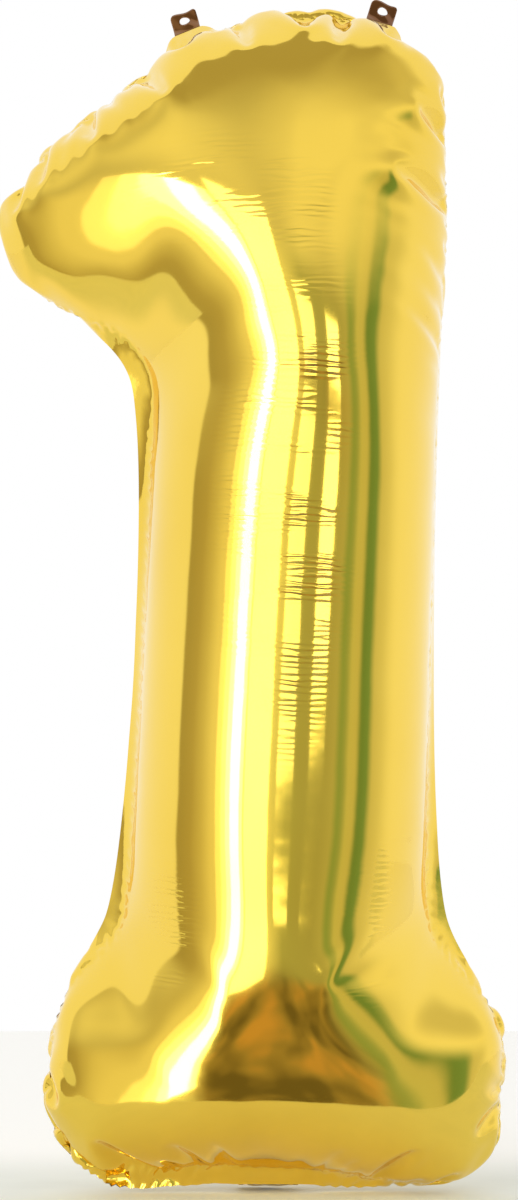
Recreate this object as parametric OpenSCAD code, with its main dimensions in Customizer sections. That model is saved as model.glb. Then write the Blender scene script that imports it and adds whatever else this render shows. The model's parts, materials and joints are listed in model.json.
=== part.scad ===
// Foil number balloon in the shape of a "1", shown inflated.
// Two die-cut film panels are heat-sealed round their edge.  A flat two-film
// self-sealing valve runs from the fill neck, through the seal, into the inside.
// Frame: +Z up, the front panel faces -Y, the seam lies in the plane Y = 0.
// Real film is about 0.03 mm thick, so every film here is a thicker stand-in.

/* [Balloon] */
// Height of the bottom seam above the lowest point of the fill neck
bottom_seam_z = 9.6; // [9:0.2:12]
// Height of the top seam
top_seam_z = 343.5; // [340:0.5:348]
// Left side of the stem
stem_left_x = -36.5; // [-39:0.5:-34]
// Right side of the stem
stem_right_x = 49.5; // [47:0.5:52]
// Half of the balloon's depth at the middle of the stem
half_depth = 43.5; // [38:0.5:46]
// Height over which the top of the balloon rounds off to the seam
top_roll = 78; // [50:1:90]
// Height over which the base rounds off to the seam
base_roll = 68; // [40:1:80]

/* [Film and seal] */
// Thickness of each film panel
film_t = 0.4; // [0.3:0.05:0.6]
// Thickness of the fused layer between the panels, and of the valve inside it
weld_t = 0.4; // [0.3:0.05:0.6]
// Width of the flat border outside the seam, fused over its whole width
border_w = 6.8; // [5:0.2:9]
// Angle by which the border leans back beside the stem
side_lean = 72; // [50:1:82]
// Angle by which the border leans back round the head
head_lean = 38; // [20:1:60]

/* [Hang tabs] */
// Width of a hang tab
tab_w = 8; // [7:0.5:12]
// Length of a hang tab
tab_l = 8; // [7:0.5:12]
// Thickness of a hang tab, both panels fused
tab_t = 0.6; // [0.4:0.05:0.8]
// Radius of the punched hole in a hang tab
tab_hole_r = 1.5; // [1:0.25:2]
// Angle by which the tabs lean back from upright
tab_lean = 50; // [40:1:60]

/* [Fill neck] */
// Middle of the neck along X
neck_x = 1.3; // [-1:0.1:4]
// Width of the neck
neck_w = 18; // [16:0.5:20]
// Length of the neck beyond the border
neck_l = 16; // [12:0.5:18]
// Angle by which the neck is folded back from hanging straight down
neck_fold = 85.5; // [70:0.5:90]
// Width of the fused strip along each side of the neck
neck_weld_w = 1.8; // [1.5:0.1:2.5]
// Radius of the inlet hole for the straw
inlet_r = 2.5; // [2:0.25:3.5]

/* [Valve] */
// Width of the valve films
valve_w = 12; // [10:0.5:13]
// Length of the valve films inside the balloon
valve_l = 58; // [40:1:70]
// Thickness of one valve film
valve_film_t = 0.15; // [0.1:0.01:0.15]
// Length of the heat-resistant release print between the valve films
release_l = 24; // [18:1:30]

/* [Hidden] */
$fn = 64;

gold = [0.93, 0.72, 0.22];
clear_film = [0.86, 0.9, 0.93];
weld_grey = [0.8, 0.8, 0.78];
print_blue = [0.55, 0.7, 0.85];

slices = 58;                       // rows of the panel mesh between the seams
across = 22;                       // steps of the panel mesh from side to side
even_rows = 0.2;                   // share of the row spacing that is even, the rest crowds to the seams
arc_steps = 7;                     // steps in each rounded corner
panel_x = (stem_left_x + stem_right_x) / 2;   // where a panel is deepest
fullness = 2.2;                    // exponent of the cross-section, 2 is an ellipse
crown = 1.0;                       // exponent of the roll to the top and bottom seams
side_from_z = [42, 92];            // the border starts to lean back, and leans fully beside the stem
head_from_z = [245, 290];          // and comes forward again to its lean round the head
border_half_t = weld_t / 2 + film_t;
crotch = 2;                        // how far up a leaning border the back dome joins it
hole_up = 2.2;                     // from a film's end to the middle of its hole, in radii of the hole
hole_drift = 0.6;                  // share of a tab's skew by which its hole moves
punch_depth = 4;                   // length of the tool that cuts the inlet hole
inlet_mouth = 1;                   // from the end of the front inlet film to the inlet hole
print_edge = 1.5;                  // clear film on each side of the release print

// The seam as two chains of corners [x, z, radius], each from the bottom up.
left_corners = [
    [-53.5, bottom_seam_z, 0],
    [-59.5, 56, 9],
    [stem_left_x - 0.8, 82, 34],
    [stem_left_x, 250, 26],
    [-65, 263.5, 9],
    [-73.5, 284.5, 11],
    [-40, 318, 24],
    [-26, top_seam_z - 8.5, 16],
    [-4, top_seam_z, 45],
    [panel_x, top_seam_z, 0]
];
right_corners = [
    [64.5, bottom_seam_z, 0],
    [70, 54, 10],
    [stem_right_x - 1, 88, 36],
    [stem_right_x, 240, 900],
    [stem_right_x - 3.5, top_seam_z - 6.5, 17],
    [15.5, top_seam_z, 50],
    [panel_x, top_seam_z, 0]
];

function unit(v) = v / norm(v);
function cross_2d(a, b) = a.x * b.y - a.y * b.x;

// The arc that rounds corner q, on the way from p to r.
function rounded(p, q, r) =
    let(
        a = unit([p.x, p.y] - [q.x, q.y]),
        b = unit([r.x, r.y] - [q.x, q.y]),
        half = acos(max(-1, min(1, a * b))) / 2,
        centre = [q.x, q.y] + unit(a + b) * q.z / sin(half),
        reach = q.z / tan(half),
        from = [q.x, q.y] + a * reach - centre,
        to = [q.x, q.y] + b * reach - centre,
        sweep = atan2(cross_2d(from, to), from * to)
    )
    [for (i = [0 : arc_steps])
        let(s = sweep * i / arc_steps)
        centre + [from.x * cos(s) - from.y * sin(s), from.x * sin(s) + from.y * cos(s)]];

// A chain of corners as a table of [z, x], for lookup().
function chain(corners) = concat(
    [[corners[0].y, corners[0].x]],
    [for (i = [1 : len(corners) - 2])
        for (p = rounded(corners[i - 1], corners[i], corners[i + 1])) [p.y, p.x]]
);

left_side = chain(left_corners);
right_side = chain(right_corners);

function smooth(s) = let(c = max(0, min(1, s))) c * c * (3 - 2 * c);

// Height of row i: the rows crowd towards the top and bottom seams.
function row_z(i, inset) =
    let(s = i / slices, low = bottom_seam_z + inset, high = top_seam_z - inset)
    low + (high - low) * (even_rows * s + (1 - even_rows) * (1 - cos(180 * s)) / 2);

// Half-depth of a panel at height z.
function depth_at(z, inset) =
    let(
        up = max(0, z - (top_seam_z - top_roll)) / (top_roll - inset),
        down = max(0, bottom_seam_z + base_roll - z) / (base_roll - inset)
    )
    (half_depth - inset) * pow(max(0, 1 - up * up), crown / 2) * pow(max(0, 1 - down * down), crown / 2);

// Point of a panel's surface, side is -1 for the front and 1 for the back.
function surface_point(i, j, side, inset) =
    let(
        z = row_z(i, inset),
        left = lookup(z, left_side) + inset,
        right = lookup(z, right_side) - inset,
        turn = 180 * j / across,
        reach = cos(turn),
        x = reach > 0 ? panel_x - (panel_x - left) * reach : panel_x + (right - panel_x) * -reach,
        rim = i == 0 || i == slices || j == 0 || j == across,
        y = rim ? 0 : depth_at(z, inset) * pow(1 - pow(abs(reach), fullness), 1 / fullness)
    )
    [x, side * (weld_t / 2 + y), z];

// Row and column of each point round the rim, anticlockwise seen from the front.
rim_cells = concat(
    [for (j = [0 : across - 1]) [0, j]],
    [for (i = [0 : slices - 1]) [i, across]],
    [for (j = [across : -1 : 1]) [slices, j]],
    [for (i = [slices : -1 : 1]) [i, 0]]
);
rim_count = len(rim_cells);
function seam_point(k) =
    let(c = rim_cells[(k + rim_count) % rim_count], p = surface_point(c.x, c.y, 1, 0))
    [p.x, 0, p.z];
function seam_out(k) =
    let(t = unit(seam_point(k + 1) - seam_point(k - 1))) [t.z, 0, -t.x];
function ramp(z, from) = smooth((z - from[0]) / (from[1] - from[0]));
function lean_at(z) = side_lean * ramp(z, side_from_z) + (head_lean - side_lean) * ramp(z, head_from_z);

// Point of the border: out is the distance from the seam, off the distance in front of its middle.
function border_point(k, out, off) =
    let(
        p = seam_point(k),
        n = seam_out(k),
        lean = lean_at(p.z),
        along = cos(lean) * n + [0, sin(lean), 0],
        front = sin(lean) * n - [0, cos(lean), 0]
    )
    p + along * out + front * off;

// Triangles turned to face the other way.
function flipped(faces) = [for (f = faces) [f.z, f.y, f.x]];

// One panel: a domed film with its flat border, closed by its inner face.
// Points: the outer grid, the inner grid, then the border's edge loops.
// Where the border leans back, the back dome leaves it a little way out, at the crotch.
module panel(side) {
    cells = (slices + 1) * (across + 1);
    rim_of = function(i, j) i == 0 || i == slices || j == 0 || j == across;
    seat = [for (k = [0 : rim_count - 1])
        border_point(k, side > 0 ? crotch * sin(lean_at(seam_point(k).z)) : 0, -side * border_half_t)];
    outer = [for (i = [0 : slices]) for (j = [0 : across])
        rim_of(i, j) ? seat[rim_index(i, j)] : surface_point(i, j, side, 0)];
    inner = [for (i = [0 : slices]) for (j = [0 : across]) surface_point(i, j, side, film_t)];
    edge_outer = [for (k = [0 : rim_count - 1]) border_point(k, border_w, -side * border_half_t)];
    edge_inner = [for (k = [0 : rim_count - 1]) border_point(k, border_w, -side * weld_t / 2)];
    seat_inner = [for (k = [0 : rim_count - 1]) border_point(k, 0, -side * weld_t / 2)];

    grid = [for (i = [0 : slices - 1]) for (j = [0 : across - 1])
        let(a = i * (across + 1) + j, b = a + across + 1)
        for (f = [[a, a + 1, b + 1], [a, b + 1, b]]) f];
    rim = [for (c = rim_cells) c.x * (across + 1) + c.y];
    e0 = 2 * cells;
    rim_strip = function(a, b) [for (k = [0 : rim_count - 1])
        let(l = (k + 1) % rim_count)
        for (f = [[a[k], a[l], b[l]], [a[k], b[l], b[k]]]) f];
    loop = function(start) [for (k = [0 : rim_count - 1]) start + k];
    inner_rim = [for (r = rim) r + cells];

    faces = concat(
        grid,
        [for (f = flipped(grid)) [f.x + cells, f.y + cells, f.z + cells]],
        rim_strip(loop(e0), rim),
        rim_strip(loop(e0 + rim_count), loop(e0)),
        rim_strip(loop(e0 + 2 * rim_count), loop(e0 + rim_count)),
        rim_strip(inner_rim, loop(e0 + 2 * rim_count))
    );
    polyhedron(
        concat(outer, inner, edge_outer, edge_inner, seat_inner),
        side < 0 ? flipped(faces) : faces
    );
}

// Place of a rim cell in rim_cells.
function rim_index(i, j) =
    i == 0 ? (j == across ? across : j)
    : i == slices ? across + slices + (across - j)
    : j == across ? across + i
    : rim_count - i;

// The fused strip between the borders, left open where the valve films pass through.
weld_ring = [for (k = [0 : rim_count - 1])
    let(p = seam_point(k))
    if (p.z > bottom_seam_z + 0.01 || abs(p.x - neck_x) > valve_w / 2 + 1) k];
function in_order(ring) =
    let(cut = [for (i = [1 : len(ring) - 1]) if (ring[i] - ring[i - 1] > 1) i][0])
    [for (i = [0 : len(ring) - 1]) ring[(cut + i) % len(ring)]];

module seal_weld() {
    stops = in_order(weld_ring);
    n = len(stops);
    points = [for (k = stops) for (c = [[0, -1], [border_w, -1], [border_w, 1], [0, 1]])
        border_point(k, c.x, c.y * weld_t / 2)];
    walls = [for (s = [0 : n - 2]) for (c = [0 : 3])
        let(a = 4 * s + c, b = 4 * s + (c + 1) % 4)
        for (f = c == 2 ? [[a, b, a + 4], [b, b + 4, a + 4]] : [[a, b, b + 4], [a, b + 4, a + 4]]) f];
    ends = [[2, 1, 0], [3, 2, 0], [4 * n - 4, 4 * n - 3, 4 * n - 2], [4 * n - 4, 4 * n - 2, 4 * n - 1]];
    color(weld_grey) polyhedron(points, concat(walls, ends));
}

module front_panel() { color(gold) panel(-1); }
module back_panel() { color(gold) panel(1); }

// A flat film in a plane of constant Y, between two heights.
module upright_film(width, low, high, y_from, y_to) {
    translate([neck_x - width / 2, y_from, low]) cube([width, y_to - y_from, high - low]);
}

border_edge_z = bottom_seam_z - border_w;
module valve_film(side) {
    gap = weld_t / 2 - valve_film_t;
    y = side < 0 ? [-weld_t / 2, -gap] : [gap, weld_t / 2];
    color(clear_film) upright_film(valve_w, border_edge_z, bottom_seam_z + valve_l, y[0], y[1]);
}
module valve_film_front() { valve_film(-1); }
module valve_film_back() { valve_film(1); }
module valve_release_print() {
    gap = weld_t / 2 - valve_film_t;
    color(print_blue) upright_film(valve_w - 2 * print_edge, border_edge_z, border_edge_z + release_l, -gap, gap);
}

// The fill neck hangs from a crease just below the border and is folded back.
crease_gap = 0.8;                  // clearance each side of a crease, so that it can turn
neck_crease_z = border_edge_z - crease_gap;
module in_neck() {
    translate([neck_x, 0, neck_crease_z]) rotate([neck_fold, 0, 0]) children();
}
// A strip of the neck: x from the neck's middle, y towards its front, z down its length.
module neck_strip(x_from, x_to, y_from, y_to, length) {
    in_neck() translate([x_from, y_from, -crease_gap - length]) cube([x_to - x_from, y_to - y_from, length]);
}
module neck_leaf_front() {
    color(gold) difference() {
        neck_strip(-neck_w / 2, neck_w / 2, -border_half_t, -weld_t / 2, neck_l);
        in_neck() translate([0, 0, -crease_gap - neck_l + hole_up * inlet_r])
            rotate([90, 0, 0]) cylinder(r = inlet_r, h = punch_depth, center = true);
    }
}
module neck_leaf_back() {
    color(gold) neck_strip(-neck_w / 2, neck_w / 2, weld_t / 2, border_half_t, neck_l);
}
module neck_weld(x_from) {
    color(weld_grey) neck_strip(x_from, x_from + neck_weld_w, -weld_t / 2, weld_t / 2, neck_l);
}
module neck_weld_left() { neck_weld(-neck_w / 2); }
module neck_weld_right() { neck_weld(neck_w / 2 - neck_weld_w); }

// The front inlet film stops above the hole, so that the straw enters between the two films.
module inlet_film(y_from, y_to, length) {
    color(clear_film) neck_strip(-valve_w / 2, valve_w / 2, y_from, y_to, length);
}
module inlet_film_front() {
    inlet_film(-weld_t / 2, valve_film_t - weld_t / 2, neck_l - (hole_up + 1) * inlet_r - inlet_mouth);
}
module inlet_film_back() { inlet_film(weld_t / 2 - valve_film_t, weld_t / 2, neck_l); }

// A hang tab: place is its crease, tilt the slope of that crease, and skew shears the tab upright.
module hang_tab(place, tilt, skew) {
    translate(place) rotate([0, tilt, 0]) rotate([-tab_lean, 0, 0])
        rotate([90, 0, 0]) translate([0, 0, -tab_t / 2]) linear_extrude(tab_t) difference() {
            polygon([[-tab_w / 2, crease_gap / 2], [tab_w / 2, crease_gap / 2],
                [tab_w / 2 + skew, tab_l], [-tab_w / 2 + skew, tab_l]]);
            translate([skew * hole_drift, tab_l - hole_up * tab_hole_r]) circle(r = tab_hole_r);
        }
}
left_tab_at = [-22.5, 4.4, 342.4];
left_tab_slope = -22;
right_tab_at = [34.2, 4.4, 345.1];
right_tab_slope = 17;
module hang_tab_left() { color(gold) hang_tab(left_tab_at, left_tab_slope, 0.8); }
module hang_tab_right() { color(gold) hang_tab(right_tab_at, right_tab_slope, 0); }

front_panel();
back_panel();
seal_weld();
valve_film_front();
valve_film_back();
valve_release_print();
neck_leaf_front();
neck_leaf_back();
neck_weld_left();
neck_weld_right();
inlet_film_front();
inlet_film_back();
hang_tab_left();
hang_tab_right();
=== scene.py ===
"""A foil number balloon, the figure one, inflated.

The balloon is made the way a real one is. Two flat sheets of film are cut to one outline, welded
along the seam, and blown up by a small simulation of film that can't stretch. Its puckers,
folds and ripples come from that. Lengths are in millimetres until the meshes are made.
"""
import json
import math

import bpy
import numpy as np
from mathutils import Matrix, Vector
from mathutils.bvhtree import BVHTree
from mathutils.geometry import delaunay_2d_cdt


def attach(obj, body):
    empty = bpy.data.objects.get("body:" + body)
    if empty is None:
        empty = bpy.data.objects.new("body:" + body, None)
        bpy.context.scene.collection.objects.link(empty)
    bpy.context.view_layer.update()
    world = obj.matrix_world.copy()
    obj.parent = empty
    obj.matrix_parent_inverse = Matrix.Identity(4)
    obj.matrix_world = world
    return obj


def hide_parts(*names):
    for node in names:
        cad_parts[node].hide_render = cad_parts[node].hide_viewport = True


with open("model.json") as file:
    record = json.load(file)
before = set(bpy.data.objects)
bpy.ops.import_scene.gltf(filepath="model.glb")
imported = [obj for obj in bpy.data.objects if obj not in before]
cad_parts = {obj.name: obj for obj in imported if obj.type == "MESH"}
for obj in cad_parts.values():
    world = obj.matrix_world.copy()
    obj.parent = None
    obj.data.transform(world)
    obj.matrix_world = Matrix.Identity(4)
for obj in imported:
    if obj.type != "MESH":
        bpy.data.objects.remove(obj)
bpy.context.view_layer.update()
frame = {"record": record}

MM = 0.001

# ---------------------------------------------------------------- the flat cut

# Corners of the seam while the film is flat, anticlockwise from the front: x, z, corner radius.
SEAM_CORNERS = [
    (-77, -20, 5),
    (6, -19, 400),
    (87, -20, 5),
    (86.5, 8, 40),
    (95, 38, 18),
    (73, 70, 26),
    (72, 278, 120),
    (65, 336, 38),
    (21, 366.5, 70),
    (-36, 353, 50),
    (-67, 329, 30),
    (-107, 296, 18),
    (-101, 264, 18),
    (-58, 240, 25),
    (-58, 67, 20),
    (-75, 40, 16),
    (-69, 8, 40),
]
BORDER = 6.8  # the welded border outside the seam

# Rounds of the simulation: point spacing, steps, pressure, passes a step, how firmly the sheets
# and the welded border resist being pushed together, how firmly they resist folding, and how
# firmly the seam keeps its line.
ROUNDS = [
    (9.0, 400, 0.004, 2, 0.25, 0.25, 0.00, 0.9),
    (5.0, 300, 0.0015, 3, 0.25, 0.25, 0.00, 0.9),
    (3.0, 150, 0.0006, 4, 0.12, 0.18, 0.02, 0.8),
    (2.0, 100, 0.0003, 4, 0.02, 0.10, 0.02, 0.6),
]
# Triangles of the net are dropped if twice their area is less than a square this many steps wide.
SLIVER = 0.1
DRAG = 0.97  # the share of its speed that the film keeps at each step
HALF = 0.5  # each end of a pair takes half of the correction
FIRST_WAVER = 0.05  # unevenness of the flat film before it is blown up
SEED = 7  # for that unevenness

# How far the border leans back behind the balloon, in degrees, and how hard it is drawn that way.
BASE_LEAN, BASE_DRAW = 5, 4.0
STEM_LEAN, STEM_DRAW = 86, 2.8
HEAD_LEAN, HEAD_DRAW = 42, 1.6
BASE_TOP, HEAD_FOOT = (28, 58), (240, 290)  # heights over which one lean becomes the next

# Heights in the flat cut over which the film begins and ends to count as the stem's.
STEM_FOOT, STEM_TOP = (40, 85), (235, 285)


def smooth(low, high, v):
    """0 below low, 1 above high, and a soft step between."""
    t = np.clip((v - low) / (high - low), 0, 1)
    return t * t * (3 - 2 * t)


def stem_share(z):
    """1 beside the balloon's stem, 0 beside its base and its head, by height in the flat cut."""
    return smooth(*STEM_FOOT, z) * (1 - smooth(*STEM_TOP, z))


def cross(a, b):
    """The third part of the cross product of flat vectors."""
    return a[..., 0] * b[..., 1] - a[..., 1] * b[..., 0]


def gather(index, values, count):
    """Sums of the rows of values that share an index."""
    columns = [np.bincount(index, column, count) for column in values.T]
    return np.column_stack(columns)


def corner_arc(before, corner, after, radius, step):
    """Points round a corner that is rounded to radius."""
    before, corner, after = (np.array(p[:2], float) for p in (before, corner, after))
    a = (before - corner) / np.linalg.norm(before - corner)
    b = (after - corner) / np.linalg.norm(after - corner)
    half = math.acos(float(np.clip(a @ b, -1, 1))) / 2
    centre = corner + (a + b) / np.linalg.norm(a + b) * radius / math.sin(half)
    reach = radius / math.tan(half)
    start = corner + a * reach - centre
    end = corner + b * reach - centre
    sweep = math.atan2(cross(start, end), start @ end)
    count = max(2, int(abs(sweep) * radius / step) + 1)
    turns = sweep * np.arange(count + 1) / count
    across = np.array([-start[1], start[0]])
    return centre + np.cos(turns)[:, None] * start + np.sin(turns)[:, None] * across


def even_loop(points, step):
    """A closed line, with new points at an even spacing near step."""
    closed = np.vstack([points, points[:1]])
    lengths = np.linalg.norm(np.diff(closed, axis=0), axis=1)
    closed = closed[np.concatenate([[True], lengths > 1e-6])]
    lengths = np.linalg.norm(np.diff(closed, axis=0), axis=1)
    along = np.concatenate([[0], np.cumsum(lengths)])
    at = np.arange(round(along[-1] / step)) * along[-1] / round(along[-1] / step)
    return np.column_stack([np.interp(at, along, closed[:, k]) for k in (0, 1)])


def outward(loop):
    """Unit vectors that point out of an anticlockwise loop at its points."""
    along = np.roll(loop, -1, 0) - np.roll(loop, 1, 0)
    along /= np.linalg.norm(along, axis=1)[:, None]
    return np.column_stack([along[:, 1], -along[:, 0]])


def inside(loop, points):
    """Which flat points lie inside a closed loop."""
    x, z = points.T
    odd = np.zeros(len(points), bool)
    for (x0, z0), (x1, z1) in zip(loop, np.roll(loop, -1, 0)):
        crossed = (z0 > z) != (z1 > z)
        if z0 != z1:
            odd ^= crossed & (x < (x1 - x0) * (z - z0) / (z1 - z0) + x0)
    return odd


GRID_CLEARANCE = 0.62  # from a loop to the points inside it, in steps


def grid_inside(loop, step):
    """Points of a triangular grid inside a loop, clear of the loop itself."""
    low, high = loop.min(0), loop.max(0)
    rows = []
    for row, z in enumerate(np.arange(low[1], high[1], step * math.sqrt(3) / 2)):
        x = np.arange(low[0] + step / 2 * (row % 2), high[0], step)
        rows.append(np.column_stack([x, np.full(len(x), z)]))
    points = np.vstack(rows)
    points = points[inside(loop, points)]
    keep = np.ones(len(points), bool)
    for p in loop:
        keep &= ((points - p) ** 2).sum(1) > (GRID_CLEARANCE * step) ** 2
    return points[keep]


def triangulate(loops, points):
    """Delaunay triangles over loops and loose points: points, triangles, and each loop's points."""
    everything = np.vstack(loops + [points])
    edges, starts, start = [], [], 0
    for loop in loops:
        count = len(loop)
        edges += [(start + i, start + (i + 1) % count) for i in range(count)]
        starts.append(start)
        start += count
    vectors = [Vector(p) for p in everything.tolist()]
    found, _, faces, sources, _, _ = delaunay_2d_cdt(vectors, edges, [], 1, 1e-5, True)
    flat = np.array([tuple(v) for v in found])
    triangles = np.array([f for f in faces if len(f) == 3])
    place = {s: i for i, source in enumerate(sources) for s in source}
    rings = [
        np.array([place[begin + i] for i in range(len(loop))])
        for begin, loop in zip(starts, loops)
    ]
    corners = flat[triangles]
    turned = cross(corners[:, 1] - corners[:, 0], corners[:, 2] - corners[:, 0]) < 0
    triangles[turned] = triangles[turned][:, ::-1]
    return flat, triangles, rings


class Film:
    """The balloon's two sheets as one net of points, which share the seam and the border."""

    def __init__(self, step):
        arcs = []
        for i, corner in enumerate(SEAM_CORNERS):
            before, after = SEAM_CORNERS[i - 1], SEAM_CORNERS[(i + 1) % len(SEAM_CORNERS)]
            arcs.append(corner_arc(before, corner, after, corner[2], step / 3))
        seam = even_loop(np.vstack(arcs), step)
        rows = max(2, round(BORDER / step))
        rings = [seam + outward(seam) * BORDER * (row + 1) / rows for row in range(rows)]
        flat, triangles, loops = triangulate([seam] + rings, grid_inside(seam, step))
        a, b, c = (flat[triangles[:, k]] for k in range(3))
        triangles = triangles[cross(b - a, c - a) > (SLIVER * step) ** 2]
        middles = flat[triangles].mean(1)
        panel = inside(seam, middles)
        self.front = triangles[panel]
        self.border = triangles[~panel & inside(rings[-1], middles)]
        self.seam, self.cut = loops[0], loops[-1]
        self.out = outward(seam)
        # The back sheet has points of its own, apart from those on the seam.
        count = len(flat)
        own = np.zeros(count, bool)
        own[self.front.ravel()] = True
        own[self.seam] = False
        own = np.flatnonzero(own)
        twin = np.arange(count)
        twin[own] = count + np.arange(len(own))
        self.back = twin[self.front][:, ::-1]
        self.flat = np.vstack([flat, flat[own]])
        self.side = np.zeros(len(self.flat))
        self.side[own] = -1
        self.side[count:] = 1
        # The border's points: the nearest point of the seam, and how far out they are, up to 1.
        self.rim = np.setdiff1d(np.unique(self.border), self.seam)
        seam_flat = self.flat[self.seam]
        gaps = [((seam_flat - p) ** 2).sum(1) for p in self.flat[self.rim]]
        self.rim_seam = np.array([g.argmin() for g in gaps])
        self.rim_out = np.clip(np.sqrt([g.min() for g in gaps]) / BORDER, 0, 1)

    def lean(self):
        """The light force that turns the border back behind the balloon."""
        corners = self.flat[self.border]
        areas = cross(corners[:, 1] - corners[:, 0], corners[:, 2] - corners[:, 0]) / 6
        size = np.zeros(len(self.flat))
        for k in range(3):
            size += np.bincount(self.border[:, k], areas, len(self.flat))
        z = self.flat[self.rim, 1]
        base, head = 1 - smooth(*BASE_TOP, z), smooth(*HEAD_FOOT, z)
        stem = 1 - base - head
        angle = np.radians(BASE_LEAN * base + STEM_LEAN * stem + HEAD_LEAN * head)
        size[self.rim] *= BASE_DRAW * base + STEM_DRAW * stem + HEAD_DRAW * head
        out = self.out[self.rim_seam]
        force = np.zeros((len(self.flat), 3))
        force[self.rim, 0] = np.cos(angle) * out[:, 0]
        force[self.rim, 1] = np.sin(angle)
        force[self.rim, 2] = np.cos(angle) * out[:, 1]
        return force * size[:, None]


def face_edges(faces):
    """Each edge of the triangles once."""
    edges = np.vstack([faces[:, [0, 1]], faces[:, [1, 2]], faces[:, [2, 0]]])
    return np.unique(np.sort(edges, axis=1), axis=0)


def fold_pairs(faces):
    """The two points that face each other across each edge."""
    edges = np.sort(np.vstack([faces[:, [0, 1]], faces[:, [1, 2]], faces[:, [2, 0]]]), axis=1)
    across = np.concatenate([faces[:, 2], faces[:, 0], faces[:, 1]])
    key = edges[:, 0].astype(np.int64) * (edges.max() + 1) + edges[:, 1]
    order = np.argsort(key, kind="stable")
    key, across = key[order], across[order]
    same = key[1:] == key[:-1]
    return np.sort(np.column_stack([across[:-1][same], across[1:][same]]), axis=1)


def separate(pairs, count):
    """The pairs in groups, in none of which two pairs share a point."""
    used = [0] * count
    group = np.zeros(len(pairs), int)
    for i, (a, b) in enumerate(pairs.tolist()):
        taken = used[a] | used[b]
        free = 0
        while taken >> free & 1:
            free += 1
        group[i] = free
        used[a] |= 1 << free
        used[b] |= 1 << free
    return [pairs[group == g] for g in range(group.max() + 1)]


def inflate(film, at, steps, pressure, passes, squeeze, weld_squeeze, fold, seam_line):
    """Blows the film up. Points move with the pressure, and every pair keeps its flat distance."""
    sheets = np.vstack([film.front, film.back])
    count = len(film.flat)
    lean = film.lean()
    groups = []
    edges = face_edges(np.vstack([sheets, film.border]))
    folds = [fold_pairs(faces) for faces in (film.front, film.back, film.border)]
    folds = np.unique(np.vstack(folds), axis=0)
    # Away from the stem, the welded border resists more than a single sheet does.
    weld = np.zeros(count)
    weld[film.border] = 1 - stem_share(film.flat[film.border, 1])
    kinds = ((edges, HALF, squeeze, weld_squeeze), (folds, 0.0, fold, fold))
    for pairs, pull, push, weld_push in kinds:
        for group in separate(pairs, count):
            a, b = group.T.copy()
            rest = np.linalg.norm(film.flat[a] - film.flat[b], axis=1)
            share = np.minimum(weld[a], weld[b])
            push_back = HALF * (push + (weld_push - push) * share)
            groups.append((a, b, rest, pull, push_back))
    speed = np.zeros_like(at)
    for _ in range(steps):
        a, b, c = (at[sheets[:, k]] for k in range(3))
        face_push = np.cross(b - a, c - a) / 6
        push = gather(sheets.ravel(), np.repeat(face_push, 3, axis=0), count)
        before = at.copy()
        at += speed * DRAG + (push + lean) * pressure
        for _ in range(passes):
            for a, b, rest, stretched, squeezed in groups:
                gap = at[b] - at[a]
                length = np.sqrt((gap * gap).sum(1)) + 1e-9
                error = (length - rest) / length
                share = np.where(error > 0, stretched, squeezed)
                move = gap * (error * share)[:, None]
                at[a] += move
                at[b] -= move
        # The seam and the cut edge may wave, but not from one point to the next.
        for line in (film.seam, film.cut):
            place = at[line]
            bend = (np.roll(place, 1, 0) + np.roll(place, -1, 0)) / 2 - place
            change = (np.roll(bend, 1, 0) + np.roll(bend, -1, 0)) / 2 - bend
            at[line] = place - seam_line * change
        speed = at - before
    return at


def on_sheet(flat, values, faces, points):
    """Values at points of the flat cut, read off a sheet's triangles."""
    net = np.column_stack([flat, np.zeros(len(flat))])
    tree = BVHTree.FromPolygons(net.tolist(), faces.tolist())
    hits = [tree.find_nearest((x, z, 0))[2] for x, z in points.tolist()]
    triangles = faces[hits]
    a, b, c = (flat[triangles[:, k]] for k in range(3))
    whole = cross(b - a, c - a)
    share_b = cross(points - a, c - a) / whole
    share_c = cross(b - a, points - a) / whole
    shares = np.column_stack([1 - share_b - share_c, share_b, share_c])
    return (values[triangles] * shares[:, :, None]).sum(1)


def carry(coarse, at, film):
    """Places for a finer film's points, read off a coarser film through the flat cut."""
    places = np.zeros((len(film.flat), 3))
    for side, faces in ((-1, coarse.front), (0, coarse.border), (1, coarse.back)):
        mine = film.side == side
        places[mine] = on_sheet(coarse.flat, at, faces, film.flat[mine])
    return places


def level_seam(film, at):
    """Turns the balloon upright, with its seam about the plane Y = 0."""
    centre = at[film.seam].mean(0)
    at = at - centre
    for axis in (2, 0):
        seam = at[film.seam]
        slope = (seam[:, 1] @ seam[:, axis]) / (seam[:, axis] @ seam[:, axis])
        turn = math.atan(slope)
        y, other = at[:, 1].copy(), at[:, axis].copy()
        at[:, 1] = y * math.cos(turn) - other * math.sin(turn)
        at[:, axis] = y * math.sin(turn) + other * math.cos(turn)
    return at + [centre[0], 0, centre[2]]


def blow_up():
    """The film and the places of its points once the balloon is full."""
    film, at = None, None
    rounds = ROUNDS
    for spacing, *how in rounds:
        finer = Film(spacing)
        if film is None:
            rng = np.random.default_rng(SEED)
            at = np.column_stack([finer.flat[:, 0], finer.side, finer.flat[:, 1]])
            at[:, 1] += rng.normal(0, FIRST_WAVER, len(at))
        else:
            at = carry(film, at, finer)
        film = finer
        at = inflate(film, at, *how)
    return film, level_seam(film, at)


# Where the sheets' folds are let out: flat x and z, radius, strength.
FOLDED_CORNERS = [
    (-35, 250, 65, 0.5),
    (-52, 58, 46, 0.4),
    (68, 56, 46, 0.4),
    (15, 180, 80, 0.35),
]
FOLD_PASSES = 36
BORDER_PASSES = 3
BORDER_EVENING = 0.6  # the share of the way to its neighbours that a border point goes each pass


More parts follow.
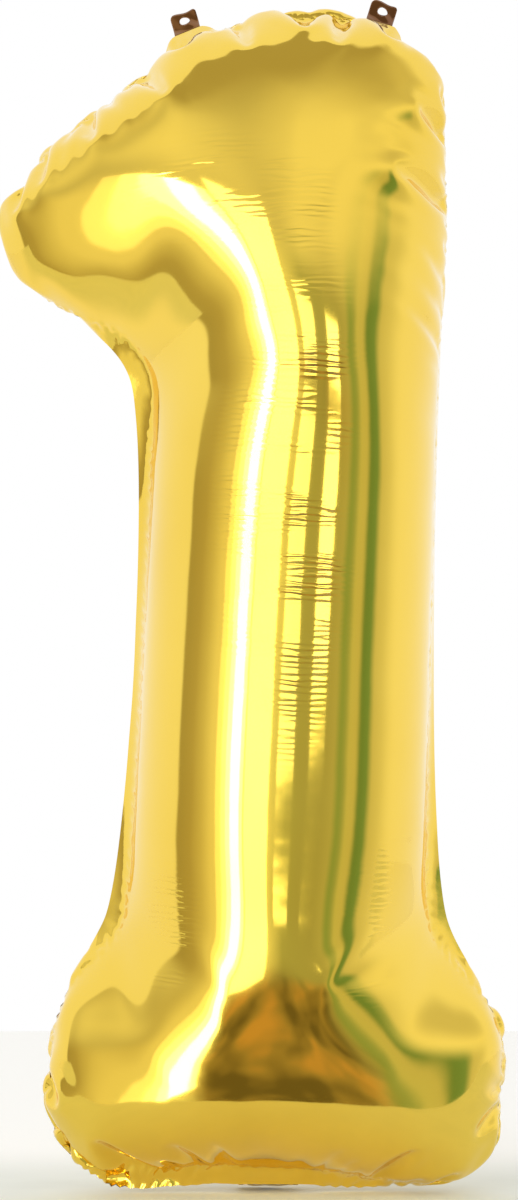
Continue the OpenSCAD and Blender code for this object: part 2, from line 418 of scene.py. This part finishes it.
def neighbour_middles(at, edges):
    """The middle of each point's neighbours along the edges."""
    a, b = edges.T
    links = np.bincount(np.concatenate([a, b]), minlength=len(at))[:, None]
    return (gather(a, at[b], len(at)) + gather(b, at[a], len(at))) / np.maximum(links, 1)


def let_out_folds(film, at):
    """Evens out the deepest folds at the inner corners, where real film has finer ones."""
    edges = face_edges(np.vstack([film.front, film.back]))
    share = np.zeros(len(at))
    for x, z, radius, strength in FOLDED_CORNERS:
        away = np.hypot(*(film.flat - (x, z)).T) / radius
        share = np.maximum(share, strength * (1 - smooth(0.5, 1, away)))
    share[film.side == 0] = 0
    for _ in range(FOLD_PASSES):
        at = at + (neighbour_middles(at, edges) - at) * share[:, None]
    return at


def smooth_border(film, at):
    """Evens out the border beside the stem, where a real one lies calmly along the balloon."""
    edges = face_edges(film.border)
    share = np.zeros((len(at), 1))
    share[film.rim, 0] = BORDER_EVENING * stem_share(film.flat[film.rim, 1])
    for _ in range(BORDER_PASSES):
        middles = neighbour_middles(at, edges)
        edge = at[film.cut]
        middles[film.cut] = (np.roll(edge, 1, 0) + np.roll(edge, -1, 0)) / 2
        at = at + (middles - at) * share
    return at


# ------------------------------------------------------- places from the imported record

JOINTS = {j["name"]: j for j in frame["record"]["behaviour"]["joints"]}


def crease(joint):
    """A joint's crease line: its middle in millimetres, and its direction."""
    return np.array(JOINTS[joint]["pos_m"]) / MM, np.array(JOINTS[joint]["axis"], float)


NECK_W = 18  # width of the filling neck
NECK_L = 16  # its length below the crease
NECK_FOLD = 85.5  # degrees that it is folded back from hanging straight
TAB_W = 8
TAB_L = 8
TAB_LEAN = 50  # degrees that the hang tabs lean back
CREASES = [("neck_crease", NECK_W), ("left_tab_crease", TAB_W), ("right_tab_crease", TAB_W)]
CREASE_MARGIN = 0.5  # how far past its ends the border is held flat to a crease
CREASE_EASE = 8  # how far past its ends the border is free again
CREASE_CATCH = 18  # the border is drawn to a crease from no further away


def meet_creases(film, at):
    """Lowers the balloon onto its neck's crease, and flattens the border onto all three creases."""
    middle, _ = crease("neck_crease")
    edge = at[film.cut]
    low = edge[(abs(edge[:, 0] - middle[0]) < NECK_W / 2) & (edge[:, 2] < edge[:, 2].mean())]
    at = at + [0, 0, middle[2] - low[:, 2].mean()]
    cut_of_rim = [((film.flat[film.cut] - p) ** 2).sum(1).argmin() for p in film.flat[film.rim]]
    foot = at[film.seam[film.rim_seam]]
    for joint, width in CREASES:
        middle, along = crease(joint)
        edge = at[film.cut]
        reach = (edge - middle) @ along
        off = np.linalg.norm(edge - middle - reach[:, None] * along, axis=1)
        held, free = width / 2 + CREASE_MARGIN, width / 2 + CREASE_EASE
        near = (1 - smooth(held, free, abs(reach))) * (off < CREASE_CATCH)
        goal = middle + reach[:, None] * along
        flat = foot + (goal[cut_of_rim] - foot) * film.rim_out[:, None]
        at[film.rim] += (flat - at[film.rim]) * near[cut_of_rim][:, None]
    return at


# ---------------------------------------------------------------- meshes

def refine(values, faces):
    """One round of Loop subdivision. values holds a row of numbers for each point, its place first."""
    count = len(values)
    sides = np.sort(np.vstack([faces[:, [0, 1]], faces[:, [1, 2]], faces[:, [2, 0]]]), axis=1)
    across = np.concatenate([faces[:, 2], faces[:, 0], faces[:, 1]])
    edges, back, uses = np.unique(sides, axis=0, return_inverse=True, return_counts=True)
    back = back.ravel()
    rim = uses == 1
    ends = values[edges[:, 0]] + values[edges[:, 1]]
    faced = gather(back, values[across], len(edges))
    middles = np.where(rim[:, None], ends / 2, ends * 3 / 8 + faced / 8)
    start, end = edges.T
    around = gather(start, values[end], count) + gather(end, values[start], count)
    degree = np.bincount(edges.ravel(), minlength=count)
    share = np.where(degree == 3, 3 / 16, 3 / (8 * np.maximum(degree, 1)))
    moved = values * (1 - degree * share)[:, None] + around * share[:, None]
    start, end = edges[rim].T
    beside = gather(start, values[end], count) + gather(end, values[start], count)
    on_rim = np.zeros(count, bool)
    on_rim[edges[rim].ravel()] = True
    links = np.bincount(edges[rim].ravel(), minlength=count)[on_rim, None]
    moved[on_rim] = values[on_rim] * 3 / 4 + beside[on_rim] / links / 4
    ab, bc, ca = (count + back).reshape(3, -1)
    a, b, c = faces.T
    corners = [(a, ab, ca), (b, bc, ab), (c, ca, bc), (ab, bc, ca)]
    return np.vstack([moved, middles]), np.vstack([np.column_stack(f) for f in corners])


def normals(at, faces):
    """Unit normals at the points."""
    a, b, c = (at[faces[:, k]] for k in range(3))
    total = gather(faces.ravel(), np.repeat(np.cross(b - a, c - a), 3, axis=0), len(at))
    return total / (np.linalg.norm(total, axis=1)[:, None] + 1e-12)


def make_piece(name, at, faces, material, marks=None):
    """A smooth mesh piece, with marks as numbers on its points that its material reads."""
    mesh = bpy.data.meshes.new(name)
    mesh.from_pydata((at * MM).tolist(), [], faces.tolist())
    mesh.polygons.foreach_set("use_smooth", np.ones(len(faces), bool))
    for mark, numbers in (marks or {}).items():
        mesh.attributes.new(mark, "FLOAT", "POINT").data.foreach_set("value", numbers)
    mesh.materials.append(material)
    obj = bpy.data.objects.new(name, mesh)
    bpy.context.collection.objects.link(obj)
    return obj


def assign(piece, body, node):
    """Attaches a piece to the body it moves with, and hides the CAD node that it stands in for."""
    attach(piece, body)
    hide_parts(node)


def only_used(values, faces):
    """Drops the points that no triangle uses."""
    used, index = np.unique(faces, return_inverse=True)
    return values[used], index.reshape(faces.shape)


# Where the film carries ripples finer than the simulation: flat x and z, half width, half height.
FINE_RIPPLES = [
    (4, 200, 26, 85),
    (36, 72, 14, 30),
    (-30, 70, 16, 22),
    (2, 285, 16, 18),
    (-22, 288, 30, 20),
]
SEAM_CRUMPLES = 14  # how far from the seam the film has fine crumples
LAYER_GAP = 0.12  # from the middle of the weld to each film


def foil_marks(film):
    """Numbers that the foil's material reads: flat place, fine ripples, nearness to the seam."""
    x, z = film.flat.T
    ripples = np.zeros(len(x))
    for cx, cz, half_x, half_z in FINE_RIPPLES:
        away = np.hypot((x - cx) / half_x, (z - cz) / half_z)
        ripples = np.maximum(ripples, 1 - smooth(0.5, 1.0, away))
    seam = film.flat[film.seam]
    away = np.sqrt([((seam - p) ** 2).sum(1).min() for p in film.flat])
    return np.column_stack([x * MM, z * MM, ripples, 1 - smooth(0, SEAM_CRUMPLES, away)])


MARKS = ("flat_x", "flat_z", "ripples", "near_seam")


def foil_layer(name, film, at, faces, gap, material):
    """One layer of the balloon, refined and lifted gap off the weld where it is welded."""
    welded = np.zeros(len(at))
    welded[film.border.ravel()] = 1
    table = np.column_stack([at, film.marks, welded])
    table, faces = only_used(table, faces)
    table, faces = refine(table, faces)
    place = table[:, :3] + normals(table[:, :3], faces) * (gap * table[:, -1])[:, None]
    marks = {mark: table[:, 3 + i] for i, mark in enumerate(MARKS)}
    return make_piece(name, place, faces, material, marks)


HOLE_SIDES = 32


def cut_piece(outline, holes=(), step=0.8):
    """Points and triangles of a flat piece of film with holes in it."""
    outline = even_loop(np.array(outline, float), step)
    turns = np.arange(HOLE_SIDES) * math.tau / HOLE_SIDES
    circle = np.array([(math.cos(t), math.sin(t)) for t in turns])
    rings = [np.array(centre) + radius * circle for *centre, radius in holes]
    points = grid_inside(outline, step)
    for ring, (*centre, radius) in zip(rings, holes):
        points = points[np.hypot(*(points - centre).T) > radius + step / 2]
    flat, faces, _ = triangulate([outline] + rings, points)
    middles = flat[faces].mean(1)
    keep = inside(outline, middles)
    for ring in rings:
        keep &= ~inside(ring, middles)
    return only_used(flat, faces[keep])


def box_outline(x0, x1, v0, v1, corner=0.0):
    """A rectangle's corners, or the same with its two far corners rounded."""
    if not corner:
        return [(x0, v0), (x1, v0), (x1, v1), (x0, v1)]
    turns = np.radians(np.arange(0, 91, 15))
    right = [(x1 - corner + corner * math.cos(t), v1 - corner + corner * math.sin(t)) for t in turns]
    left = [(x0 + corner - corner * math.sin(t), v1 - corner + corner * math.cos(t)) for t in turns]
    return [(x0, v0), (x1, v0)] + right + left


FILM_T = 0.06  # thickness that a free film is drawn with
TAB_T = 0.1  # and a tab, which is two films and the weld


def bent_piece(name, flat, faces, shape, material, thickness=FILM_T):
    """A flat piece carried into space by shape, with the thickness of film."""
    across, down = flat.T
    obj = make_piece(name, shape(across, down), faces, material)
    solid = obj.modifiers.new("film", "SOLIDIFY")
    solid.thickness = thickness * MM
    solid.offset = 0
    return obj


# ---------------------------------------------------------------- the neck, the tabs and the valve

NECK_CORNER = 1.5  # radius of the neck's two free corners
NECK_GAP = 0.24  # from the middle of the neck to each leaf
NECK_SLACK, NECK_WAVE, NECK_CURL = 0.35, 0.16, 1.6
NECK_START = 0.2  # from the crease to the welds and the inlet's films
INLET_AT = 11.27  # from the crease to the middle of the filling hole
INLET_R = 2.5
INLET_GAP = 0.1  # from the middle of the neck to each film of the inlet
INLET_MOUTH = 1.5  # from the filling hole to the end of the front film
INLET_END = 0.5  # from the end of the back film to the neck's end
NECK_WELD = 1.8  # width of the weld along each side of the neck
NECK_WELD_END = 1.6  # from the end of that weld to the neck's end
WELD_STEP = 0.6
VALVE_W = 12
VALVE_L = 64  # length of the valve's films, measured from the border's cut edge
VALVE_LOW = 0.5  # from the cut edge to the start of the films
VALVE_HELD = 6.3  # how far in from the cut edge the films are welded
VALVE_SWAY = 0.5
VALVE_T = 0.03
VALVE_GAP = 0.05
VALVE_STEP = 1.2
RELEASE_L = 24
RELEASE_EDGE = 1.5  # clear film on each side of the print
HOLE_R = 1.5
HOLE_AT = 4.7  # from a tab's crease to the middle of its hole
TAB_CORNER = 1.2
TAB_STEP = 0.5
TAB_WAVE = 0.35


def neck_shape(lift):
    """Carries neck film into space: folded back along the floor, a little slack and creased."""
    middle, _ = crease("neck_crease")
    fold = math.radians(NECK_FOLD)
    down = np.array([0, math.sin(fold), -math.cos(fold)])
    up = np.array([0, math.cos(fold), math.sin(fold)])

    def shape(across, along):
        free = smooth(0, 4, along)
        slack = NECK_SLACK * np.cos(across / NECK_W * math.pi) * np.sign(lift) * free
        wave = NECK_WAVE * np.sin(across * 0.9 + along * 0.5) * free
        corner = NECK_CURL * smooth(4, 11, across + along - 11) * (across > 0)
        height = lift + slack + wave + corner
        along_x = np.column_stack([across, 0 * across, 0 * across])
        return middle + along_x + along[:, None] * down + height[:, None] * up

    return shape


def make_neck(materials):
    """The filling neck: two leaves, the welds at their sides, and the two films of the inlet."""
    half = NECK_W / 2
    whole = box_outline(-half, half, 0, NECK_L, NECK_CORNER)
    flat, faces = cut_piece(whole, [(0, INLET_AT, INLET_R)])
    front = bent_piece("neck_front", flat, faces, neck_shape(-NECK_GAP), materials["gold_foil"])
    assign(front, "fill_neck", "neck_leaf_front")
    flat, faces = cut_piece(whole)
    back = bent_piece("neck_back", flat, faces, neck_shape(NECK_GAP), materials["gold_foil"])
    assign(back, "fill_neck", "neck_leaf_back")
    for side, x0 in (("left", -half), ("right", half - NECK_WELD)):
        strip = box_outline(x0, x0 + NECK_WELD, NECK_START, NECK_L - NECK_WELD_END)
        flat, faces = cut_piece(strip, step=WELD_STEP)
        weld = bent_piece(f"neck_seal_{side}", flat, faces, neck_shape(0.0), materials["weld_layer"])
        assign(weld, "fill_neck", f"neck_weld_{side}")
    reach = {"front": INLET_AT - INLET_R - INLET_MOUTH, "back": NECK_L - INLET_END}
    for side, lift in (("front", -INLET_GAP), ("back", INLET_GAP)):
        strip = box_outline(-VALVE_W / 2, VALVE_W / 2, NECK_START, reach[side])
        flat, faces = cut_piece(strip)
        film = bent_piece(f"inlet_strip_{side}", flat, faces, neck_shape(lift), materials["valve_film"])
        assign(film, "fill_neck", f"inlet_film_{side}")


def tab_shape(joint, curl):
    """Carries a tab into space: it stands back off its crease, and curls."""
    middle, along = crease(joint)
    rise = np.cross([0, 1, 0], along) * -1
    lean = math.radians(TAB_LEAN)
    out = rise * math.cos(lean) + np.array([0, math.sin(lean), 0])
    face = np.cross(along, out)

    def shape(across, up):
        wave = TAB_WAVE * np.sin(across * 0.8 + up * 0.4) * smooth(0, 3, up)
        bend = curl * (up / TAB_L) ** 2 + wave
        return middle + across[:, None] * along + up[:, None] * out + bend[:, None] * face

    return shape


def make_tab(side, skew, curl, materials):
    """A hang tab: a tongue of the welded border with a punched hole."""
    shape = tab_shape(f"{side}_tab_crease", curl)
    outline = box_outline(-TAB_W / 2, TAB_W / 2, 0, TAB_L, TAB_CORNER)
    flat, faces = cut_piece(outline, [(0, HOLE_AT, HOLE_R)], step=TAB_STEP)
    flat[:, 0] += skew * flat[:, 1] / TAB_L
    # The tab is drawn in the dark brown copy of the gold foil, which is painted shade.
    tab = bent_piece(f"tab_{side}", flat, faces, shape, materials["shaded_tab_foil"], TAB_T)
    assign(tab, f"{side}_tab", f"hang_tab_{side}")
    return tab


def valve_shape(film, at, lift):
    """Carries valve film into space: welded between the border's layers, then standing free."""
    middle, _ = crease("neck_crease")
    edge = np.abs(at[film.cut] - middle).sum(1).argmin()
    foot_x, foot_z = film.flat[film.cut[edge]]
    table, faces = only_used(np.column_stack([at, film.flat]), film.border)
    table, faces = refine(table, faces)
    facing = normals(table[:, :3], faces)
    welded = np.column_stack([table[:, :3], facing])

    def shape(across, up):
        in_weld = np.minimum(up, VALVE_HELD)
        points = np.column_stack([foot_x + across, foot_z + in_weld])
        found = on_sheet(table[:, 3:], welded, faces, points)
        place = found[:, :3] + lift * found[:, 3:]
        free = up - in_weld
        place[:, 1] += VALVE_SWAY * np.sin(free * 0.12) * smooth(0, 16, free)
        place[:, 2] += free
        return place

    return shape


def make_valve(film, at, materials):
    """The flat valve inside the balloon: two clear films with a printed release strip between."""
    half = VALVE_W / 2
    for side, lift in (("front", VALVE_GAP), ("back", -VALVE_GAP)):
        outline = box_outline(-half, half, VALVE_LOW, VALVE_L)
        flat, faces = cut_piece(outline, step=VALVE_STEP)
        shape = valve_shape(film, at, lift)
        name = f"valve_strip_{side}"
        strip = bent_piece(name, flat, faces, shape, materials["valve_film"], VALVE_T)
        assign(strip, "balloon", f"valve_film_{side}")
    half -= RELEASE_EDGE
    outline = box_outline(-half, half, VALVE_LOW, VALVE_LOW + RELEASE_L)
    flat, faces = cut_piece(outline, step=VALVE_STEP)
    shape = valve_shape(film, at, 0.0)
    release = bent_piece("release_strip", flat, faces, shape, materials["release_print"], VALVE_T)
    assign(release, "balloon", "valve_release_print")


# ---------------------------------------------------------------- materials

class Nodes:
    """Short calls that build a node tree."""

    def __init__(self, tree):
        self.tree = tree
        tree.nodes.clear()

    def add(self, kind, **settings):
        """A new node with its settings."""
        node = self.tree.nodes.new(kind)
        for name, value in settings.items():
            setattr(node, name, value)
        return node

    def put(self, socket, value):
        """Sets a socket, or links it if value is another node's output."""
        if isinstance(value, bpy.types.NodeSocket):
            self.tree.links.new(value, socket)
        else:
            socket.default_value = value

    def math(self, operation, *values):
        """The result of one sum on numbers or outputs."""
        node = self.add("ShaderNodeMath", operation=operation)
        for socket, value in zip(node.inputs, values):
            self.put(socket, value)
        return node.outputs[0]

    def mark(self, name):
        """The numbers that a piece's points carry under a name."""
        return self.add("ShaderNodeAttribute", attribute_name=name).outputs["Fac"]

    def noise(self, scale, detail, vector=None):
        """Soft noise from 0 to 1, over the object unless a vector is given."""
        node = self.add("ShaderNodeTexNoise")
        node.inputs["Scale"].default_value = scale
        node.inputs["Detail"].default_value = detail
        if vector is None:
            vector = self.add("ShaderNodeTexCoord").outputs["Object"]
        self.put(node.inputs["Vector"], vector)
        return node.outputs["Fac"]

    def ramp(self, factor, stops):
        """A colour ramp through (position, colour) stops."""
        node = self.add("ShaderNodeValToRGB")
        self.put(node.inputs["Fac"], factor)
        elements = node.color_ramp.elements
        while len(elements) > 1:
            elements.remove(elements[0])
        elements[0].position = stops[0][0]
        elements[0].color = (*stops[0][1], 1)
        for position, colour in stops[1:]:
            elements.new(position).color = (*colour, 1)
        return node.outputs["Color"]

    def blend(self, factor, first, second):
        """A colour between two, by factor."""
        node = self.add("ShaderNodeMix", data_type="RGBA")
        sockets = [s for s in node.inputs if s.enabled]
        self.put(sockets[0], factor)
        for socket, value in zip(sockets[1:], (first, second)):
            if not isinstance(value, bpy.types.NodeSocket):
                value = (*value, 1)
            self.put(socket, value)
        return next(s for s in node.outputs if s.enabled)

    def step(self, low, high, value):
        """0 below low, 1 above high, smooth between."""
        node = self.add("ShaderNodeMapRange", interpolation_type="SMOOTHSTEP")
        for name, number in (("Value", value), ("From Min", low), ("From Max", high)):
            self.put(node.inputs[name], number)
        return node.outputs["Result"]


def new_material(name):
    """An empty material: itself, its nodes, and its shader's inputs."""
    material = bpy.data.materials.new(name)
    material.use_nodes = True
    nodes = Nodes(material.node_tree)
    shader = nodes.add("ShaderNodeBsdfPrincipled")
    output = nodes.add("ShaderNodeOutputMaterial")
    nodes.put(output.inputs["Surface"], shader.outputs["BSDF"])
    return material, nodes, shader.inputs


LIGHT_GOLD = [(0.3, (0.90, 0.62, 0.075)), (0.7, (0.95, 0.68, 0.10))]
# Painted shade: the hang tabs are the same gold foil as the balloon, drawn in this dark brown copy of
# it.
SHADED_TAB_GOLD = [(0.3, (0.15, 0.055, 0.02)), (0.7, (0.30, 0.13, 0.03))]
WELD_TONES = [(0.3, (0.50, 0.36, 0.08)), (0.7, (0.62, 0.46, 0.12))]
CLEAR_TONES = [(0.3, (0.72, 0.76, 0.80)), (0.7, (0.84, 0.87, 0.90))]
PRINT_TONES = [(0.3, (0.10, 0.22, 0.48)), (0.7, (0.15, 0.30, 0.58))]
# The floor's greyer part in front of and under the balloon, painted shade.
SHADED_FLOOR_TONES = [(0.3, (0.78, 0.82, 0.81)), (0.7, (0.82, 0.86, 0.85))]


def gold_foil(name, colours):
    """Gold lacquer over a bright metal layer under clear film, with fine ripples in it."""
    material, nodes, shader = new_material(name)
    nodes.put(shader["Base Color"], nodes.ramp(nodes.noise(14, 3), colours))
    shader["Metallic"].default_value = 1.0
    haze = nodes.noise(60, 4)
    nodes.put(shader["Roughness"], nodes.math("MULTIPLY_ADD", haze, 0.06, 0.045))
    shader["Coat Weight"].default_value = 0.3
    shader["Coat Roughness"].default_value = 0.03
    shader["Coat IOR"].default_value = 1.5
    # Fine ripples run across the film, packed a little under two millimetres apart.
    place = nodes.add("ShaderNodeCombineXYZ")
    nodes.put(place.inputs["X"], nodes.math("MULTIPLY", nodes.mark("flat_x"), 0.25))
    nodes.put(place.inputs["Z"], nodes.mark("flat_z"))
    flat = place.outputs["Vector"]
    wave = nodes.add("ShaderNodeTexWave", bands_direction="Z")
    wave.inputs["Scale"].default_value = 175
    wave.inputs["Distortion"].default_value = 6.0
    wave.inputs["Detail"].default_value = 2.0
    wave.inputs["Detail Scale"].default_value = 1.5
    nodes.put(wave.inputs["Vector"], flat)
    patches = nodes.step(0.42, 0.60, nodes.noise(70, 3, flat))
    patches = nodes.math("MULTIPLY", patches, nodes.mark("ripples"))
    ladder = nodes.math("MULTIPLY", wave.outputs["Fac"], patches)
    # Fine crumples show only close to the seam.
    crumple = nodes.noise(420, 3)
    crumple = nodes.math("MULTIPLY", crumple, nodes.mark("near_seam"))
    crumple = nodes.math("MULTIPLY", crumple, 0.35)
    slow = nodes.math("MULTIPLY", nodes.noise(70, 2), 0.35)
    height = nodes.math("ADD", nodes.math("MULTIPLY", ladder, 0.5), crumple)
    height = nodes.math("ADD", height, slow)
    bump = nodes.add("ShaderNodeBump")
    bump.inputs["Strength"].default_value = 1.0
    bump.inputs["Distance"].default_value = 0.00012
    nodes.put(bump.inputs["Height"], height)
    nodes.put(shader["Normal"], bump.outputs["Normal"])
    return material


def weld_layer():
    """The inner sealing layers, melted together."""
    material, nodes, shader = new_material("sealed_film")
    tone = nodes.noise(300, 3)
    nodes.put(shader["Base Color"], nodes.ramp(tone, WELD_TONES))
    shader["Metallic"].default_value = 0.7
    nodes.put(shader["Roughness"], nodes.math("MULTIPLY_ADD", tone, 0.2, 0.2))
    return material


def valve_film():
    """Milky clear valve film."""
    material, nodes, shader = new_material("clear_film")
    tone = nodes.noise(120, 3)
    nodes.put(shader["Base Color"], nodes.ramp(tone, CLEAR_TONES))
    nodes.put(shader["Roughness"], nodes.math("MULTIPLY_ADD", tone, 0.2, 0.22))
    shader["Transmission Weight"].default_value = 0.5
    return material


def release_print():
    """The blue heat-resistant coat that keeps the valve films apart."""
    material, nodes, shader = new_material("printed_coat")
    tone = nodes.noise(500, 3)
    nodes.put(shader["Base Color"], nodes.ramp(tone, PRINT_TONES))
    nodes.put(shader["Roughness"], nodes.math("MULTIPLY_ADD", tone, 0.2, 0.4))
    return material


# ---------------------------------------------------------------- the studio

CAMERA_Y = -1.6
FLOOR = (0.8, -0.05, 0.6, -0.0006)  # half its width, its front and back edges, its height
FRAME_H = 0.354  # height of the picture at the balloon
FRAME_X = -0.00136
FRAME_Z = 0.1743

# A window in upright strips, soft at both sides: bearings of the two edges, brightness.
WINDOW = [(-55, -50, 0.5), (-50, -46, 1.4), (-46, -42, 3.5), (-42, -34, 10), (-34, -31, 3)]
WINDOW_HEIGHTS = (-0.9, 0.5)

# The room round the balloon as it shows in the foil, by degrees from the camera, right positive.
ROOM = [
    (-93, (0.42, 0.38, 0.27)),
    (-79, (0.50, 0.45, 0.33)),
    (-69, (0.68, 0.64, 0.51)),
    (-60, (0.92, 0.89, 0.77)),
    (-8, (0.88, 0.90, 0.75)),
    (4, (0.46, 0.50, 0.38)),
    (32, (0.42, 0.44, 0.33)),
    (42, (0.50, 0.52, 0.40)),
    (47, (0.28, 0.42, 0.26)),
    (51, (0.36, 0.46, 0.32)),
    (55, (0.62, 0.64, 0.48)),
    (61, (0.62, 0.62, 0.48)),
    (65, (0.17, 0.31, 0.18)),
    (72, (0.20, 0.36, 0.24)),
    (77, (0.68, 0.68, 0.60)),
    (100, (0.95, 0.95, 0.92)),
]
UPPER_ROOM = [(0.35, (0.66, 0.65, 0.60)), (0.65, (1.0, 0.99, 0.92))]
LOWER_ROOM = [(0.38, (0.16, 0.13, 0.07)), (0.52, (0.36, 0.28, 0.15)), (0.62, (0.62, 0.38, 0.18))]
LOWER_LEFT, LOWER_RIGHT = (-36, -26), (34, 52)  # bearings between which the lower room fades
BACKDROP_LEFT, BACKDROP_RIGHT = (91.5, 94.5), (84, 104)  # and the backdrop, from the camera
CEILING = (0.46, 0.42, 0.32)
BACKDROP = (1.0, 1.0, 1.0)

# The other light panels: name, bearings of the two edges, heights in metres, brightness.
PANELS = [
    ("window_side", -30, -10, -0.1, 0.6, 2.0),
    ("pane_left", -4, 9, 0.11, 0.29, 1.8),
    ("pane_right", 21, 33, 0.11, 0.29, 2.6),
]


def bearing(degrees):
    """A bearing from the camera as a share of the full turn, as the world's shader has it."""
    return 0.5 + degrees / 360


def make_world():
    """A white backdrop behind the balloon, and a dimmer room round the camera."""
    world = bpy.data.worlds.new("studio")
    bpy.context.scene.world = world
    world.use_nodes = True
    nodes = Nodes(world.node_tree)
    where = nodes.add("ShaderNodeTexCoord").outputs["Generated"]
    split = nodes.add("ShaderNodeSeparateXYZ")
    nodes.put(split.inputs[0], where)
    x, y, z = split.outputs
    turn = nodes.math("ARCTAN2", x, nodes.math("MULTIPLY", y, -1.0))
    share = nodes.math("MULTIPLY_ADD", turn, 1 / math.tau, 0.5)
    level = nodes.ramp(share, [(bearing(degrees), colour) for degrees, colour in ROOM])
    lower = nodes.ramp(nodes.noise(3.2, 2, where), LOWER_ROOM)
    upper = nodes.ramp(nodes.noise(1.6, 1, where), UPPER_ROOM)
    front = nodes.blend(nodes.step(0.05, 0.32, z), level, upper)
    front = nodes.blend(nodes.step(0.55, 0.9, z), front, CEILING)
    start, end = (map(bearing, side) for side in (LOWER_LEFT, LOWER_RIGHT))
    sector = nodes.math("SUBTRACT", nodes.step(*start, share), nodes.step(*end, share))
    below = nodes.step(0.06, 0.26, nodes.math("MULTIPLY", z, -1.0))
    front = nodes.blend(nodes.math("MULTIPLY", below, sector), front, lower)
    left = nodes.step(*map(bearing, BACKDROP_LEFT), nodes.math("SUBTRACT", 1.0, share))
    right = nodes.step(*map(bearing, BACKDROP_RIGHT), share)
    behind = nodes.math("MAXIMUM", left, right)
    sky = nodes.blend(behind, front, BACKDROP)
    background = nodes.add("ShaderNodeBackground")
    nodes.put(background.inputs["Color"], sky)
    output = nodes.add("ShaderNodeOutputWorld")
    nodes.put(output.inputs["Surface"], background.outputs["Background"])


def softbox(name, left, right, low, high, brightness):
    """An upright light panel a metre off, between two bearings in degrees from the camera."""
    middle = math.radians((left + right) / 2)
    width = 2 * math.tan(math.radians(right - left) / 2)
    light = bpy.data.lights.new(name, "AREA")
    light.shape = "RECTANGLE"
    light.size = width
    light.size_y = high - low
    light.energy = brightness * math.pi * width * (high - low)
    obj = bpy.data.objects.new(name, light)
    obj.location = (math.sin(middle), -math.cos(middle), (low + high) / 2)
    obj.rotation_euler = (math.pi / 2, 0, middle)
    obj.visible_camera = False
    bpy.context.collection.objects.link(obj)


def make_floor():
    """A pale floor under the balloon and behind it, greyer in front of and under the balloon as painted
    shade, and faintly glowing behind it as painted light.
    """
    mesh = bpy.data.meshes.new("floor")
    x, front, back, z = FLOOR
    mesh.from_pydata([(-x, front, z), (x, front, z), (x, back, z), (-x, back, z)], [], [(0, 1, 2, 3)])
    material, nodes, shader = new_material("pale_floor")
    place = nodes.add("ShaderNodeSeparateXYZ")
    nodes.put(place.inputs[0], nodes.add("ShaderNodeTexCoord").outputs["Object"])
    # Behind the balloon the floor is whiter and glows, in front of and under it greyer: painted light
    # and painted shade.
    behind = nodes.step(0.02, 0.14, place.outputs["Y"])
    near = nodes.ramp(nodes.noise(40, 3), SHADED_FLOOR_TONES)
    nodes.put(shader["Base Color"], nodes.blend(behind, near, (0.92, 0.92, 0.92)))
    shader["Roughness"].default_value = 0.7
    shader["Specular IOR Level"].default_value = 0.2
    # A faint glow, stronger behind the balloon: painted light, since the floor is no lamp.
    nodes.put(shader["Emission Color"], nodes.blend(behind, (0.3, 0.3, 0.3), (1, 1, 1)))
    shader["Emission Strength"].default_value = 0.16
    mesh.materials.append(material)
    floor = bpy.data.objects.new("floor", mesh)
    bpy.context.collection.objects.link(floor)


def make_camera():
    """A long lens, level with the middle of the balloon."""
    data = bpy.data.cameras.new("camera")
    data.lens = data.sensor_width * -CAMERA_Y / FRAME_H
    data.clip_start, data.clip_end = 0.05, 50
    camera = bpy.data.objects.new("camera", data)
    camera.location = (FRAME_X, CAMERA_Y, FRAME_Z)
    camera.rotation_euler = (math.pi / 2, 0, 0)
    bpy.context.collection.objects.link(camera)
    bpy.context.scene.camera = camera


# ---------------------------------------------------------------- the balloon


def make_balloon(film, at, materials):
    """The two foil sheets and the weld between their borders."""
    film.marks = foil_marks(film)
    outer = film.border
    gold = materials["gold_foil"]
    front_faces = np.vstack([film.front, outer])
    back_faces = np.vstack([film.back, outer[:, ::-1]])
    front = foil_layer("foil_front", film, at, front_faces, LAYER_GAP, gold)
    back = foil_layer("foil_back", film, at, back_faces, LAYER_GAP, gold)
    weld = foil_layer("seal_layer", film, at, outer, 0.0, materials["weld_layer"])
    assign(front, "balloon", "front_panel")
    assign(back, "balloon", "back_panel")
    assign(weld, "balloon", "seal_weld")


def build():
    """Sets up the studio and makes every piece."""
    make_camera()
    make_world()
    make_floor()
    for number, (left, right, brightness) in enumerate(WINDOW):
        softbox(f"window_{number}", left, right, *WINDOW_HEIGHTS, brightness)
    for panel in PANELS:
        softbox(*panel)
    materials = {
        "gold_foil": gold_foil("gold_film", LIGHT_GOLD),
        # Painted shade: the tabs get a dark brown copy of the gold foil.
        "shaded_tab_foil": gold_foil("shaded_tab_film", SHADED_TAB_GOLD),
        "weld_layer": weld_layer(),
        "valve_film": valve_film(),
        "release_print": release_print(),
    }
    tabs = [
        make_tab("left", skew=0.8, curl=1.5, materials=materials),
        make_tab("right", skew=0.0, curl=1.8, materials=materials),
    ]
    make_neck(materials)
    film, at = blow_up()
    at = smooth_border(film, let_out_folds(film, at))
    at = meet_creases(film, at)
    make_valve(film, at, materials)
    make_balloon(film, at, materials)
    bpy.context.scene.view_settings.view_transform = "Standard"


build()
